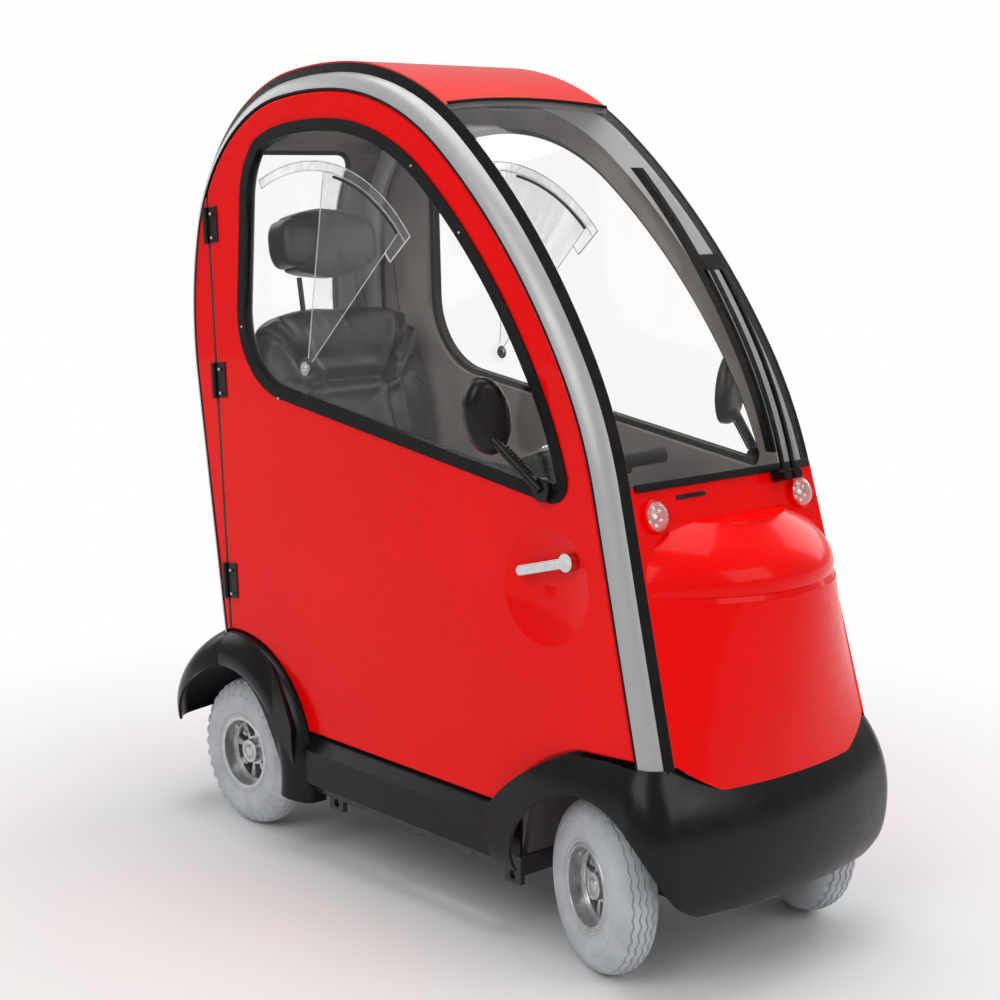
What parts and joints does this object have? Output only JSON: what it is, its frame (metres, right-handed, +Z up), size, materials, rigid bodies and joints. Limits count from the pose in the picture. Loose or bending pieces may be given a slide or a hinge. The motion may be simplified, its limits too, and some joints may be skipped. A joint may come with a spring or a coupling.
{
  "type": "enclosed mobility scooter",
  "caption": "Tall enclosed mobility scooter with a hooped red cabin, hinged side doors with vented windows, curved windscreen, black skirts and small grey-tyred wheels steered by a tiller.",
  "frame": {"origin": "on the floor under the middle of the body", "axes": "+X forward, +Y to the vehicle's left, +Z up"},
  "size_m": [1.6374, 0.774, 1.683],
  "materials": {
    "red_paint": "gloss",
    "silver_paint": "satin",
    "black_plastic": "satin",
    "grey_plastic": "matte",
    "black_rubber": "matte",
    "black_steel": "satin",
    "frame_steel": "satin",
    "bright_steel": "brushed",
    "clear_sheet": "clear",
    "lamp_lens": "clear",
    "red_lens": "clear",
    "black_leather": "satin",
    "chrome": "polished",
    "grey_tyre": "matte",
    "rim_alloy": "satin"
  },
  "bodies": {
    "body": {"chassis_frame": "frame_steel", "floor_pan": "grey_plastic", "seat_box": "grey_plastic", "batteries": "black_plastic", "rear_axle": "frame_steel", "front_axle": "frame_steel", "front_bumper": "black_plastic", "rear_bumper": "black_plastic", "side_sills": "black_plastic", "side_hoops": "silver_paint", "hoop_trims": "black_rubber", "windscreen": "clear_sheet", "roof_panel": "red_paint", "tail_lamps": "red_lens", "rear_panel": "red_paint", "rear_window": "clear_sheet", "front_lamps": "lamp_lens", "nose_panel": "red_paint", "wiper": "black_plastic", "rear_quarters": "black_plastic", "hinge_posts": "black_steel", "seat_pedestal": "black_steel", "seat_cushion": "black_leather", "seat_back": "black_leather", "headrest": "black_leather", "headrest_posts": "chrome", "armrests": "black_leather", "tiller_collar": "black_plastic"},
    "tiller": {"tiller_column": "black_plastic", "handlebar": "black_rubber"},
    "steering_link": {"tie_rod": "bright_steel"},
    "right_door": {"door_right": "red_paint", "window_right": "clear_sheet", "window_rubber_right": "black_rubber", "vent_pane_right": "clear_sheet", "handle_right": "chrome", "mirror_right": "black_plastic", "hinge_leaves_right": "black_steel"},
    "right_knuckle": {"knuckle_right": "bright_steel"},
    "front_right_wheel": {"tyre_front_right": "grey_tyre", "rim_front_right": "rim_alloy"},
    "rear_right_wheel": {"tyre_rear_right": "grey_tyre", "rim_rear_right": "rim_alloy"},
    "left_door": {"door_left": "red_paint", "window_left": "clear_sheet", "window_rubber_left": "black_rubber", "vent_pane_left": "clear_sheet", "handle_left": "chrome", "mirror_left": "black_plastic", "hinge_leaves_left": "black_steel"},
    "left_knuckle": {"knuckle_left": "bright_steel"},
    "front_left_wheel": {"tyre_front_left": "grey_tyre", "rim_front_left": "rim_alloy"},
    "rear_left_wheel": {"tyre_rear_left": "grey_tyre", "rim_rear_left": "rim_alloy"}
  },
  "joints": [
    {"name": "right_door_hinge", "type": "hinge", "parent": "body", "child": "right_door", "pos_m": [-0.587, -0.30976, 0.55472], "axis": [0.1332, -0.0415, -0.9902], "range_deg": [0, 75]},
    {"name": "left_door_hinge", "type": "hinge", "parent": "body", "child": "left_door", "pos_m": [-0.587, 0.30976, 0.55472], "axis": [-0.1332, -0.0415, 0.9902], "range_deg": [0, 75]},
    {"name": "tiller_steer", "type": "hinge", "parent": "body", "child": "tiller", "pos_m": [0.34649, 0, 0.324], "axis": [-0.2924, 0, 0.9563], "range_deg": [-10, 49]},
    {"name": "right_knuckle_steer", "type": "hinge", "parent": "body", "child": "right_knuckle", "pos_m": [0.58, -0.2, 0.165], "axis": [0, 0, 1], "range_deg": [-10, 49]},
    {"name": "left_knuckle_steer", "type": "hinge", "parent": "body", "child": "left_knuckle", "pos_m": [0.58, 0.2, 0.165], "axis": [0, 0, 1], "range_deg": [-10, 49]},
    {"name": "link_pivot", "type": "hinge", "parent": "right_knuckle", "child": "steering_link", "pos_m": [0.497, -0.17077, 0.165], "axis": [0, 0, 1], "range_deg": [-49, 10]},
    {"name": "front_right_wheel_spin", "type": "hinge", "parent": "right_knuckle", "child": "front_right_wheel", "pos_m": [0.55841, -0.26131, 0.165], "axis": [0.3322, 0.9432, 0], "continuous": true},
    {"name": "rear_right_wheel_spin", "type": "hinge", "parent": "body", "child": "rear_right_wheel", "pos_m": [-0.5385, -0.265, 0.165], "axis": [0, 1, 0], "continuous": true},
    {"name": "front_left_wheel_spin", "type": "hinge", "parent": "left_knuckle", "child": "front_left_wheel", "pos_m": [0.60159, 0.26131, 0.165], "axis": [0.3322, 0.9432, 0], "continuous": true},
    {"name": "rear_left_wheel_spin", "type": "hinge", "parent": "body", "child": "rear_left_wheel", "pos_m": [-0.5385, 0.265, 0.165], "axis": [0, 1, 0], "continuous": true}
  ],
  "couplings": [
    {"joint": "right_knuckle_steer", "follows": "tiller_steer", "ratio": 1},
    {"joint": "left_knuckle_steer", "follows": "tiller_steer", "ratio": 1},
    {"joint": "link_pivot", "follows": "tiller_steer", "ratio": -1}
  ]
}
